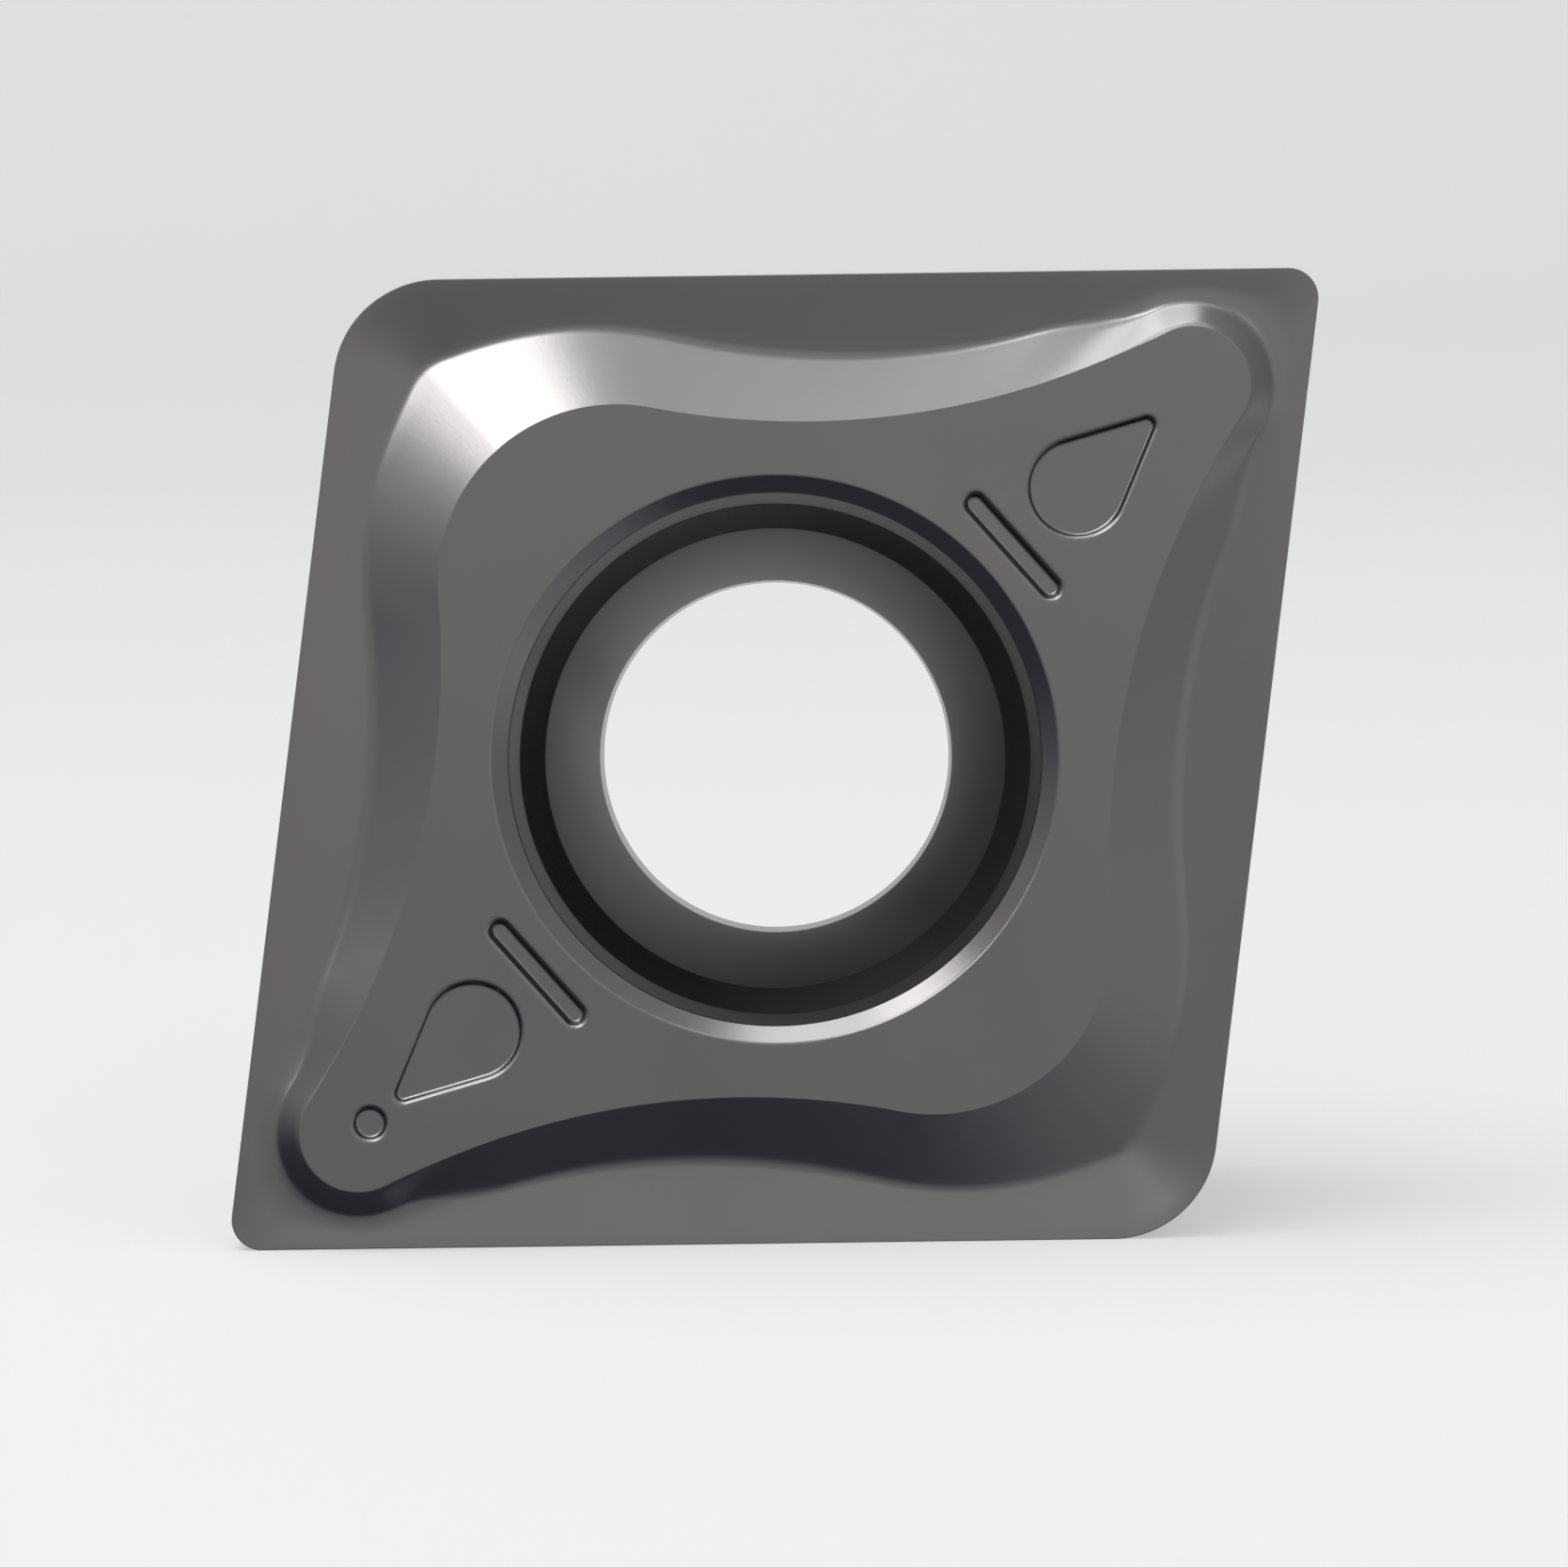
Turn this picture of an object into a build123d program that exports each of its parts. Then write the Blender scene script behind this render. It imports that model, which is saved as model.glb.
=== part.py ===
from build123d import *
import os
from math import atan2, cos, hypot, pi, radians, sin, sqrt, tan

# A single-sided rhombic turning insert, pressed and sintered as one piece.
# It is drawn with its hole along Z, its long diagonal along X and its cutting edges at height 0,
# and is stood on one flank at the end. Lengths are in millimetres, angles in degrees.

# Body
inscribed_circle = 12.70
nose_angle = 82.35
thickness = 4.76
clearance_angle = 7.0
nose_radius = 0.40
blunt_radius = 1.38
seat_nose_radius = 0.15
seat_blunt_radius = 0.80

# Rake land, the strip that falls inward from the cutting edge to the valley, flatter at the noses
rake_angle = 12.0
nose_rake_angle = 7.0
valley_floor = 0.31
land_end_nose_radius = 1.00
land_end_blunt_radius = 0.25
valley_fillet = 0.28

# Chip breaker wall, by its outline at the valley floor, the root, and at the plateau, the crest.
# Each outline has an arc over each corner, set back from the cutting edge on the diagonal,
# and a hollow arc along each side.
plateau_height = 0.25
root_nose_setback = 1.14
root_nose_arc = 2.17
root_blunt_setback = 0.81
root_blunt_arc = 3.37
root_side_arc = 7.75
crest_nose_setback = 1.33
crest_nose_arc = 0.78
crest_blunt_setback = 2.55
crest_blunt_arc = 2.34
crest_side_arc = 10.30
crest_fillet = 0.06

# Nose boss, the round pad that carries the crest's sharp corner arc and stands crisp on the land
boss_foot_radius = 1.20

# Screw hole, from the plateau down: chamfer, collar, step, bowl that the screw head seats in, throat.
# Each radius is taken at the top of its part and each depth is the part's own.
mouth_radius = 3.71
chamfer_depth = 0.19
collar_radius = 3.49
collar_depth = 0.41
step_radius = 3.36
step_depth = 0.44
bowl_radius = 3.045
bowl_depth = 2.11
bowl_bulge = 0.065
throat_radius = 2.385
back_chamfer = 0.12

# Corner marks, sunk in the plateau along the long diagonal
drop_place = 5.31
drop_radius = 0.647
drop_tip_place = 6.53
drop_tip_radius = 0.12
drop_depth = 0.08
bar_place = 4.175
bar_span = 1.46
bar_width = 0.308
bar_depth = 0.12
dot_place = 7.115
dot_radius = 0.22
dot_depth = 0.08
mark_draft = 25.0

# Working values of the drawing, which shape nothing by themselves
cutter_overrun = 1.0
height_match = 1e-4
diagonal_match = 1e-3

half_nose = nose_angle / 2
inradius = inscribed_circle / 2
nose_tip = (inradius - nose_radius) / sin(radians(half_nose)) + nose_radius
blunt_tip = (inradius - blunt_radius) / cos(radians(half_nose)) + blunt_radius


def rhombus_outline(nose_inset, blunt_inset, nose_arc, blunt_arc, height):
    """The rhombus with its sides moved in, as far as is given for either end, and its corners rounded."""
    reach = (inradius - nose_inset) / sin(radians(half_nose))
    spread = (inradius - blunt_inset) / cos(radians(half_nose))
    face = make_face(Polyline((reach, 0), (0, spread), (-reach, 0), (0, -spread), close=True))
    face = fillet(face.vertices().filter_by(lambda corner: abs(corner.X) > spread / 2), nose_arc)
    face = fillet(face.vertices().filter_by(lambda corner: abs(corner.X) < nose_arc), blunt_arc)
    return Pos(0, 0, height) * face


def lobed_outline(nose_setback, nose_arc, blunt_setback, blunt_arc, side_arc, height):
    """Four corner arcs joined by tangent side arcs that hollow towards the hole."""
    nose_place = nose_tip - nose_setback - nose_arc
    blunt_place = blunt_tip - blunt_setback - blunt_arc
    nose = Vector(nose_place, 0)
    blunt = Vector(0, blunt_place)
    apart = hypot(nose_place, blunt_place)
    to_nose = side_arc + nose_arc
    to_blunt = side_arc + blunt_arc
    along = (to_nose**2 - to_blunt**2 + apart**2) / (2 * apart)
    outward = sqrt(to_nose**2 - along**2)
    middle = nose + (blunt - nose) * (along / apart) + Vector(blunt_place, nose_place) * (outward / apart)
    on_nose = nose + (middle - nose) * (nose_arc / to_nose)
    on_blunt = blunt + (middle - blunt) * (blunt_arc / to_blunt)
    on_side = middle - middle.normalized() * side_arc
    side = ThreePointArc(on_nose, on_side, on_blunt)
    tip = ThreePointArc(on_nose, Vector(nose_place + nose_arc, 0), Vector(on_nose.X, -on_nose.Y))
    crown = ThreePointArc(on_blunt, Vector(0, blunt_place + blunt_arc), Vector(-on_blunt.X, on_blunt.Y))
    sides = [side, mirror(side, Plane.YZ), mirror(side, Plane.XZ), Rot(0, 0, 180) * side]
    corners = [tip, Rot(0, 0, 180) * tip, crown, Rot(0, 0, 180) * crown]
    return Pos(0, 0, height) * make_face(Curve() + sides + corners)


def edges_in_turn(face):
    """The outline's edges in order round the hole, counted from just past a sharp corner."""
    start = radians(half_nose / 2)

    def bearing(edge):
        middle = edge @ 0.5
        return (atan2(middle.Y, middle.X) - start) % (2 * pi)

    return sorted(face.edges(), key=bearing)


def ruled_body(upper_face, lower_face):
    """A solid between two like outlines: a true plane at each side, a ruled face at each corner."""
    faces = [upper_face.face(), lower_face.face()]
    for upper, lower in zip(edges_in_turn(upper_face), edges_in_turn(lower_face)):
        if upper.geom_type == GeomType.LINE:
            side = Polyline(upper @ 0, upper @ 1, lower @ 1, lower @ 0, close=True)
            faces.append(make_face(side).face())
        else:
            faces.append(Face.make_surface_from_curves(upper, lower))
    return Solid(Shell(faces))


def blank():
    """The body up to the cutting edges, its flanks drawn in towards the seat."""
    top = rhombus_outline(0, 0, nose_radius, blunt_radius, 0)
    draw_in = thickness * tan(radians(clearance_angle))
    seat = rhombus_outline(draw_in, draw_in, seat_nose_radius, seat_blunt_radius, -thickness)
    return ruled_body(top, seat)


def rake_pocket():
    """What the press leaves out inside the cutting edges, down to the valley floor."""
    top = rhombus_outline(0, 0, nose_radius, blunt_radius, 0)
    nose_run = valley_floor / tan(radians(nose_rake_angle))
    blunt_run = valley_floor / tan(radians(rake_angle))
    floor = rhombus_outline(nose_run, blunt_run, land_end_nose_radius, land_end_blunt_radius, -valley_floor)
    return loft([top, floor], ruled=True)


def breaker_wall():
    """The raised middle, whose sloping side turns the chip over."""
    root = lobed_outline(
        root_nose_setback, root_nose_arc, root_blunt_setback, root_blunt_arc, root_side_arc, -valley_floor
    )
    crest = lobed_outline(
        crest_nose_setback, crest_nose_arc, crest_blunt_setback, crest_blunt_arc, crest_side_arc, plateau_height
    )
    return loft([root, crest], ruled=True)


def nose_boss():
    """The cone under the crest's sharp corner arc, from the plateau down to the valley floor."""
    place = nose_tip - crest_nose_setback - crest_nose_arc
    rise = valley_floor + plateau_height
    return Pos(place, 0, plateau_height - rise / 2) * Cone(boss_foot_radius, crest_nose_arc, rise)


def chip_breaker_body():
    """Blank, land and wall, the valley rounded out, then the bosses, and the crest rounded off."""
    body = blank() - rake_pocket() + breaker_wall()
    valley = body.edges().filter_by(lambda edge: -valley_floor < edge.center().Z < -crest_fillet)
    at_nose = valley.filter_by(lambda edge: abs(edge.center().Y) < diagonal_match).sort_by(Axis.X)
    body = fillet([at_nose[0], at_nose[-1]], valley_fillet)
    for turn in (0, 180):
        body = body + Rot(0, 0, turn) * nose_boss()
    crest = body.edges().filter_by(lambda edge: abs(edge.center().Z - plateau_height) < height_match)
    return fillet(crest, crest_fillet)


def screw_hole():
    """The hole's whole hollow, turned about its axis, open at both faces."""
    above = plateau_height + cutter_overrun
    below = -thickness - cutter_overrun
    collar_top = plateau_height - chamfer_depth
    step_top = collar_top - collar_depth
    bowl_top = step_top - step_depth
    throat_top = bowl_top - bowl_depth
    wall = Curve() + [
        Polyline(
            (0, above),
            (mouth_radius, above),
            (mouth_radius, plateau_height),
            (collar_radius, collar_top),
            (step_radius, step_top),
            (bowl_radius, bowl_top),
        ),
        SagittaArc((bowl_radius, bowl_top), (throat_radius, throat_top), -bowl_bulge),
        Polyline(
            (throat_radius, throat_top),
            (throat_radius, -thickness + back_chamfer),
            (throat_radius + back_chamfer, -thickness),
            (throat_radius + back_chamfer, below),
            (0, below),
            (0, above),
        ),
    ]
    return revolve(Plane.XZ * make_face(wall), Axis.Z)


def drop_outline(shrink):
    """A drop whose tip points at the sharp corner."""
    wide = Pos(drop_place, 0) * Circle(drop_radius - shrink)
    tip = Pos(drop_tip_place, 0) * Circle(drop_tip_radius - shrink)
    return make_face(make_hull(wide.edges() + tip.edges()))


def bar_outline(shrink):
    """A bar with round ends, square across the diagonal."""
    return Pos(bar_place, 0) * SlotCenterToCenter(bar_span, bar_width - 2 * shrink, rotation=90)


def dot_outline(shrink):
    """A dot beyond one of the drops."""
    return Pos(-dot_place, 0) * Circle(dot_radius - shrink)


def sunk_mark(outline, depth):
    """A mark pressed into the plateau, its walls drafted so that the punch lifts out."""
    mouth = Pos(0, 0, plateau_height) * outline(0)
    floor = Pos(0, 0, plateau_height - depth) * outline(depth * tan(radians(mark_draft)))
    return loft([mouth, floor], ruled=True)


def corner_marks():
    """A drop and a bar at both sharp corners, and a dot that tells one from the other."""
    marks = [sunk_mark(dot_outline, dot_depth)]
    for turn in (0, 180):
        marks.append(Rot(0, 0, turn) * sunk_mark(drop_outline, drop_depth))
        marks.append(Rot(0, 0, turn) * sunk_mark(bar_outline, bar_depth))
    return marks


def stand_on_flank(insert):
    """Turn one cutting edge level, then rest the flank below it on the ground."""
    insert = Rot(0, 0, half_nose) * insert
    insert = Rot(90 - clearance_angle, 0, 0) * insert
    box = insert.bounding_box()
    middle = (box.min + box.max) / 2
    return Pos(-middle.X, -middle.Y, -box.min.Z) * insert


insert_body = chip_breaker_body() - screw_hole()
for mark in corner_marks():
    insert_body = insert_body - mark
insert_body = stand_on_flank(insert_body)

os.makedirs("parts", exist_ok=True)
export_step(insert_body, "parts/insert_body.step")
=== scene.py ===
import math
from types import SimpleNamespace

import bmesh
import bpy
import numpy as np
from bpy.props import FloatProperty, FloatVectorProperty, IntProperty, PointerProperty
from mathutils import Matrix, Vector


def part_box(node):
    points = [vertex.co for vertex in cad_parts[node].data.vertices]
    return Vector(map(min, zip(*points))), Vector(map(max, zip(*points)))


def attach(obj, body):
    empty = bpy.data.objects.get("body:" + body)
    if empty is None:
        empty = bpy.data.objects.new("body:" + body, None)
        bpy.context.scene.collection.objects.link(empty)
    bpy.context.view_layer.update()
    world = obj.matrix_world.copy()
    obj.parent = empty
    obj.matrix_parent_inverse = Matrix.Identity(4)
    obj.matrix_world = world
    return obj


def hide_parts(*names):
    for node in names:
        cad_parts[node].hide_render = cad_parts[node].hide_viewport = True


bl_info = {
    "name": "Carbide turning insert",
    "version": (1, 0, 0),
    "blender": (4, 5, 0),
    "location": "View3D > Sidebar > Insert",
    "description": "Dresses a single-sided rhombic turning insert and the studio it stands in",
    "category": "Object",
}

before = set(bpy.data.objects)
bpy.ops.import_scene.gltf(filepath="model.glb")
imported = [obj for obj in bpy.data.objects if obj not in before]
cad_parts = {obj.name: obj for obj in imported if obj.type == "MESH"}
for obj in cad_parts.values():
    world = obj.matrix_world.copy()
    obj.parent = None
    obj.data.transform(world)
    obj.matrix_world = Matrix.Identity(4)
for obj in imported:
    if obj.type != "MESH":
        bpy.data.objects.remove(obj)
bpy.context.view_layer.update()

MM = 0.001
NODE = "insert_body"


class InsertSizes(bpy.types.PropertyGroup):
    """Driving sizes of the insert, drawn with its hole along Z and its cutting edges at height 0."""

    inscribed_circle: FloatProperty(
        name="Inscribed circle", description="Circle that touches the four cutting edges",
        default=12.70 * MM, min=0.0, unit="LENGTH"
    )
    nose_angle: FloatProperty(
        name="Nose angle", description="Angle of the sharp corners",
        default=math.radians(82.35), min=0.0, max=math.pi / 2, subtype="ANGLE"
    )
    thickness: FloatProperty(
        name="Thickness", description="Cutting edges to seat",
        default=4.76 * MM, min=0.0, unit="LENGTH"
    )
    clearance_angle: FloatProperty(
        name="Clearance angle", description="Lean of the flanks",
        default=math.radians(7.0), min=0.0, max=math.pi / 2, subtype="ANGLE"
    )
    nose_radius: FloatProperty(
        name="Nose radius", description="Rounding of the sharp corners at the cutting edge",
        default=0.40 * MM, min=0.0, unit="LENGTH"
    )
    blunt_radius: FloatProperty(
        name="Blunt corner radius", description="Rounding of the blunt corners at the cutting edge",
        default=1.38 * MM, min=0.0, unit="LENGTH"
    )
    seat_nose_radius: FloatProperty(
        name="Nose radius at seat", description="Rounding of the sharp corners at the seat",
        default=0.15 * MM, min=0.0, unit="LENGTH"
    )
    seat_blunt_radius: FloatProperty(
        name="Blunt corner radius at seat", description="Rounding of the blunt corners at the seat",
        default=0.80 * MM, min=0.0, unit="LENGTH"
    )
    edge_hone: FloatProperty(
        name="Edge hone", description="Rounding of the cutting edge",
        default=0.02 * MM, min=0.0, unit="LENGTH"
    )
    rake_angle: FloatProperty(
        name="Rake angle", description="Fall of the land at the blunt corners",
        default=math.radians(12.0), min=0.0, max=math.pi / 2, subtype="ANGLE"
    )
    nose_rake_angle: FloatProperty(
        name="Nose rake angle", description="Fall of the land at the sharp corners",
        default=math.radians(6.0), min=0.0, max=math.pi / 2, subtype="ANGLE"
    )
    land_depth: FloatProperty(
        name="Land depth", description="How far the land falls before it would end",
        default=0.31 * MM, min=0.0, unit="LENGTH"
    )
    land_end_nose_radius: FloatProperty(
        name="Land end nose radius", description="Sharp corner radius at the land's lowest line",
        default=1.0 * MM, min=0.0, unit="LENGTH"
    )
    land_end_blunt_radius: FloatProperty(
        name="Land end blunt radius", description="Blunt corner radius at the land's lowest line",
        default=0.25 * MM, min=0.0, unit="LENGTH"
    )
    valley_radius: FloatProperty(
        name="Valley radius", description="Hollow rounding between land and wall",
        default=0.28 * MM, min=0.0, unit="LENGTH"
    )
    plateau_height: FloatProperty(
        name="Plateau height", description="Raised middle over the cutting edges",
        default=0.25 * MM, min=0.0, unit="LENGTH"
    )
    crest_radius: FloatProperty(
        name="Crest radius", description="Rounding between wall and plateau",
        default=0.06 * MM, min=0.0, unit="LENGTH"
    )


class InsertLooks(bpy.types.PropertyGroup):
    """Finish of the coating and tone of the studio."""

    coat_colour: FloatVectorProperty(
        name="Coat", description="Reflected colour of the coating", subtype="COLOR",
        default=(0.170, 0.164, 0.165), min=0.0, max=1.0
    )
    coat_roughness: FloatProperty(
        name="Coat roughness", description="Blur of the coating's reflections",
        default=0.24, min=0.0, max=1.0, subtype="FACTOR"
    )
    floor_colour: FloatVectorProperty(
        name="Floor", description="Colour of the floor and backdrop", subtype="COLOR",
        default=(0.43, 0.43, 0.43), min=0.0, max=1.0
    )
    floor_glow: FloatProperty(
        name="Floor glow", description="Even light that the floor adds of its own for the camera",
        default=1.0, min=0.0
    )
    # Painted shade: how much darker the floor's colour is painted towards the backdrop, where light falls
    # off.
    floor_painted_fall: FloatProperty(
        name="Floor fall", description="Tone of the backdrop as a share of the floor's",
        default=0.85, min=0.0, max=1.0, subtype="FACTOR"
    )
    side_points: IntProperty(
        name="Side points", description="Mesh points along one hollow of the wall", default=110, min=20
    )


# The values below are in drawing units: millimetres and degrees.

# Screw hole, from the plateau down: (radius, depth below the plateau) of each edge.
MOUTH = (3.71, 0.0)
CHAMFER_FOOT = (3.49, 0.19)
COLLAR_FOOT = (3.36, 0.60)
STEP_FOOT = (3.045, 1.04)
THROAT_TOP = (2.385, 3.15)
BOWL_BULGE = 0.065
BACK_CHAMFER = 0.12

# Each lobed outline: setback and radius over a sharp corner, the same over a blunt one, side radius.
WALL_ROOT = (1.14, 2.17, 0.81, 3.37, 7.75)
WALL_CREST = (1.33, 0.78, 2.55, 2.34, 10.30)

# Nose boss: slope and width of its ring, fall of the skirt round its foot, the run of its crest's rounding
# and the blend at its foot. Beside the nose its slope eases over a stretch, then steepens until the wall
# covers it.
BOSS = {
    "angle": 41.5, "width": 0.295, "skirt_angle": 15.0, "crest_run": 0.06, "foot_blend": 0.02,
    "stretch": 1.4, "eased": 0.235, "steeper_from": 0.9, "steeper": 0.35, "wall_blend": 0.35,
}

# Skirt: how it widens beside the nose, falls away from it and ends, and its blend with the land.
SKIRT = {"wider": 0.24, "fall_from": 0.7, "fall": 0.03, "end_from": 1.0, "end": 0.2, "blend": 0.05}

# Mitre of the wall over the blunt corners: its slope and how far it reaches along the wall.
MITRE = {"slope": 0.02, "reach": 0.6}

DROP = {"big": (5.31, 0.647), "small": (6.53, 0.12), "depth": 0.08}
BAR = {"place": 4.175, "half_span": 0.73, "radius": 0.154, "depth": 0.12}
DOT = {"place": -7.115, "radius": 0.22, "depth": 0.08}
MARK_DRAFT = 25.0

# Runs of the small roundings, from the top down: at the hole's edges above its bowl, at those below it,
# and at the rim and the floor of a mark.
HOLE_ROUNDINGS = (0.02, 0.015, 0.015, 0.015)
THROAT_ROUNDINGS = (0.04, 0.02, 0.02)
MARK_ROUNDINGS = (0.042, 0.026)

# Halvings that find where two surfaces meet, and how far past the crest's outline the rim may lie.
HALVINGS = 40
RIM_MARGIN = 0.2


def drawn(sizes):
    """The sizes as the drawing has them: lengths in millimetres, angles in radians."""
    values = {}
    for name, kind in sizes.bl_rna.properties.items():
        if kind.type == "FLOAT":
            values[name] = getattr(sizes, name) / (MM if kind.unit == "LENGTH" else 1)
    return SimpleNamespace(**values)


def unit(angle):
    """Direction at an angle from X."""
    return np.array([math.cos(angle), math.sin(angle)])


def bearing(vector):
    """Angle of a direction from X, in one turn."""
    return math.atan2(vector[1], vector[0]) % (2 * math.pi)


def soft_max(first, second, blend):
    """The higher of two heights, rounded where they come within blend of each other."""
    overlap = np.clip(blend - np.abs(first - second), 0, None) / blend
    return np.maximum(first, second) + overlap**2 * blend / 4


def turned(first, second):
    """Above 0 where the second direction lies to the left of the first."""
    return first[0] * second[:, 1] - first[1] * second[:, 0]


def smooth_step(share):
    """0 below 0, 1 above 1, with level ends between."""
    share = np.clip(share, 0, 1)
    return share**2 * (3 - 2 * share)


def lobed_outline(tip, crown, outline):
    """Arc centres and joins of a lobed outline, in the first quarter."""
    nose_setback, nose_arc, blunt_setback, blunt_arc, side_arc = outline
    nose = np.array([tip - nose_setback - nose_arc, 0.0])
    blunt = np.array([0.0, crown - blunt_setback - blunt_arc])
    apart = math.hypot(nose[0], blunt[1])
    to_nose = side_arc + nose_arc
    to_blunt = side_arc + blunt_arc
    along = (to_nose**2 - to_blunt**2 + apart**2) / (2 * apart)
    outward = math.sqrt(to_nose**2 - along**2)
    middle = nose + (blunt - nose) * (along / apart)
    middle = middle + np.array([blunt[1], nose[0]]) * (outward / apart)
    on_nose = nose + (middle - nose) * (nose_arc / to_nose)
    on_blunt = blunt + (middle - blunt) * (blunt_arc / to_blunt)
    return {
        "nose": (nose, nose_arc), "blunt": (blunt, blunt_arc), "side": (middle, side_arc),
        "first": math.atan2(on_nose[1], on_nose[0]), "second": math.atan2(on_blunt[1], on_blunt[0]),
        "joins": (on_nose, on_blunt),
    }


def lobe_ring(lobes, stations):
    """Points of the lobed outline at stations that match those of the cutting edge."""
    on_nose, on_blunt = lobes["joins"]
    turns = {
        "nose": (0.0, bearing(on_nose - lobes["nose"][0])),
        "side": (bearing(on_nose - lobes["side"][0]), bearing(on_blunt - lobes["side"][0])),
        "blunt": (bearing(on_blunt - lobes["blunt"][0]), math.pi / 2),
    }
    points = []
    for _, _, zone, share in stations:
        centre, radius = lobes[zone]
        start, end = turns[zone]
        points.append(centre + radius * unit(start + (end - start) * share))
    return all_round(np.array(points))


def lobe_reach(lobes, angle):
    """Distance from the hole's axis to the lobed outline along each ray."""
    angle = np.arctan2(np.abs(np.sin(angle)), np.abs(np.cos(angle)))
    ray = np.stack([np.cos(angle), np.sin(angle)], axis=-1)

    def meet(part, sign):
        centre, radius = lobes[part]
        along = ray @ centre
        rest = np.clip(radius**2 - centre @ centre + along**2, 0, None)
        return along + sign * np.sqrt(rest)

    reach = meet("side", -1)
    reach = np.where(angle < lobes["first"], meet("nose", 1), reach)
    return np.where(angle > lobes["second"], meet("blunt", 1), reach)


def first_inside(start, inward, length, outer, inner):
    """How far in along each spoke the inner surface comes out above the outer one."""
    near, far = np.zeros(len(start)), length.copy()
    for _ in range(HALVINGS):
        middle = (near + far) / 2
        xy = start + inward * middle[:, None]
        still_outside = inner(xy) < outer(xy)
        near = np.where(still_outside, middle, near)
        far = np.where(still_outside, far, middle)
    return near


class RakeFace:
    """The top face as a height over the drawing plane, from the same lines as the solid."""

    def __init__(self, sizes):
        self.sizes = sizes
        self.half = sizes.nose_angle / 2
        self.inradius = sizes.inscribed_circle / 2
        nose_run = sizes.land_depth / math.tan(sizes.nose_rake_angle)
        blunt_run = sizes.land_depth / math.tan(sizes.rake_angle)
        self.edge_corners = self.inradius / np.array([math.sin(self.half), math.cos(self.half)])
        self.land_shift = np.array([nose_run / math.sin(self.half), blunt_run / math.cos(self.half)])
        tip = (self.inradius - sizes.nose_radius) / math.sin(self.half) + sizes.nose_radius
        crown = (self.inradius - sizes.blunt_radius) / math.cos(self.half) + sizes.blunt_radius
        self.root = lobed_outline(tip, crown, WALL_ROOT)
        self.crest = lobed_outline(tip, crown, WALL_CREST)
        self.boss_slope = math.tan(math.radians(BOSS["angle"]))

    def outside(self, x, y, share):
        """Distance outside the land's outline at a share of its depth, where sides and arcs have shrunk."""
        sizes = self.sizes
        reach, spread = (corner - shift * share for corner, shift in zip(self.edge_corners, self.land_shift))
        nose_arc = sizes.nose_radius + (sizes.land_end_nose_radius - sizes.nose_radius) * share
        shrunk = sizes.land_end_blunt_radius
        blunt_arc = shrunk + (sizes.blunt_radius - shrunk) * (1 - share) ** 2
        length = np.hypot(reach, spread)
        sine, cosine = spread / length, reach / length
        flat = x * sine + y * cosine - reach * sine
        nose = x - (reach - nose_arc / sine)
        blunt = y - (spread - blunt_arc / cosine)
        distance = np.where(y * sine < nose * cosine, np.hypot(nose, y) - nose_arc, flat)
        return np.where(x * cosine < blunt * sine, np.hypot(x, blunt) - blunt_arc, distance)

    def land(self, xy):
        """Height of the land, by the share of its depth at which its outline passes the point."""
        x, y = np.abs(xy[:, 0]), np.abs(xy[:, 1])
        near, far = np.full(len(xy), -0.05), np.full(len(xy), 1.2)
        for _ in range(HALVINGS):
            middle = (near + far) / 2
            inside = self.outside(x, y, middle) < 0
            near = np.where(inside, middle, near)
            far = np.where(inside, far, middle)
        return -self.sizes.land_depth * near

    def wall_slope(self, xy):
        """Rise of the wall over its run, along the ray through each point."""
        angle = np.arctan2(xy[:, 1], xy[:, 0])
        rise = self.sizes.land_depth + self.sizes.plateau_height
        return rise / (lobe_reach(self.root, angle) - lobe_reach(self.crest, angle))

    def wall(self, xy):
        """Height of the wall, with a slight mitre over the blunt corners."""
        root = lobe_reach(self.root, np.arctan2(xy[:, 1], xy[:, 0]))
        aside = np.abs(xy[:, 0])
        mitre = aside * np.exp(-aside / MITRE["reach"]) * MITRE["slope"]
        return (root - np.hypot(xy[:, 0], xy[:, 1])) * self.wall_slope(xy) - self.sizes.land_depth - mitre

    def past_crest(self, xy):
        """Distance outside the crest's outline, and how far towards the sharp corner the point lies."""
        point = np.abs(xy)
        nose, nose_arc = self.crest["nose"]
        blunt, blunt_arc = self.crest["blunt"]
        middle, side_arc = self.crest["side"]
        distance = side_arc - np.hypot(*(point - middle).T)
        nose_side = turned(nose - middle, point - middle) > 0
        blunt_side = turned(blunt - middle, point - middle) < 0
        distance = np.where(nose_side, np.hypot(*(point - nose).T) - nose_arc, distance)
        distance = np.where(blunt_side, np.hypot(*(point - blunt).T) - blunt_arc, distance)
        return distance, point[:, 0] - nose[0]

    def boss(self, xy):
        """Height of the slope round the crest's sharp corner arc, which eases into the wall beside it."""
        out, along = self.past_crest(xy)
        eased = smooth_step(-along / BOSS["stretch"]) * BOSS["eased"]
        steeper = np.clip(-along - BOSS["steeper_from"], 0, None) ** 2 * BOSS["steeper"]
        return self.sizes.plateau_height - out * (self.boss_slope - eased + steeper)

    def ground(self, xy):
        """The land, swelling a little up to the boss on the side of the sharp corner."""
        out, along = self.past_crest(xy)
        foot = self.sizes.plateau_height - BOSS["width"] * self.boss_slope
        width = BOSS["width"] + smooth_step(-along / BOSS["stretch"]) * SKIRT["wider"]
        skirt = foot - (out - width) * math.tan(math.radians(BOSS["skirt_angle"]))
        skirt = skirt - np.clip(SKIRT["fall_from"] - along, 0, None) ** 2 * SKIRT["fall"]
        skirt = skirt - np.clip(-along - SKIRT["end_from"], 0, None) ** 2 * SKIRT["end"]
        return soft_max(self.land(xy), skirt, SKIRT["blend"])

    def raised(self, xy):
        """Wall and boss, the higher of the two."""
        return np.maximum(self.wall(xy), self.boss(xy))

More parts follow.
